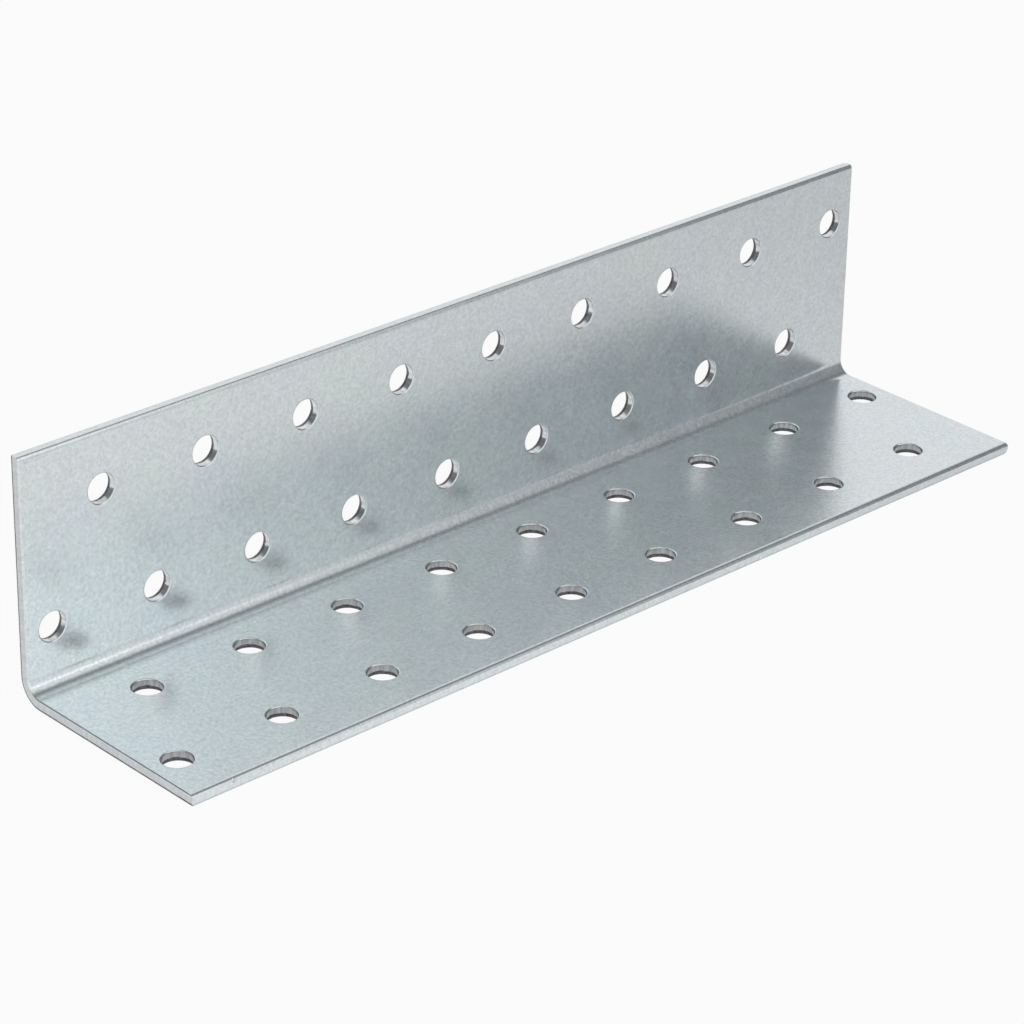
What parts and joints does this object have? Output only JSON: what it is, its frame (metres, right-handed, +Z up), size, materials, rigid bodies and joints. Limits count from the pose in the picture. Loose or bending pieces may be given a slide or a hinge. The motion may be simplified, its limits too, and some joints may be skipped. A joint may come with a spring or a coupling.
{
  "type": "angle bracket",
  "caption": "Right-angle bracket folded from zinc-coated sheet, with staggered rows of round nail and screw holes in both legs, for joining timber or boards at a corner.",
  "frame": {"origin": "middle of the box's bottom face, on the surface that the base leg lies on", "axes": "+X runs along the fold, +Y points out of the upright leg's back face, +Z up along the upright leg"},
  "size_m": [0.18, 0.0414, 0.0415],
  "materials": {
    "galvanised_steel": "satin zinc coating with a fine mottled grain, bare and unpainted"
  },
  "bodies": {
    "root": {"bracket": "galvanised_steel"}
  },
  "joints": []
}
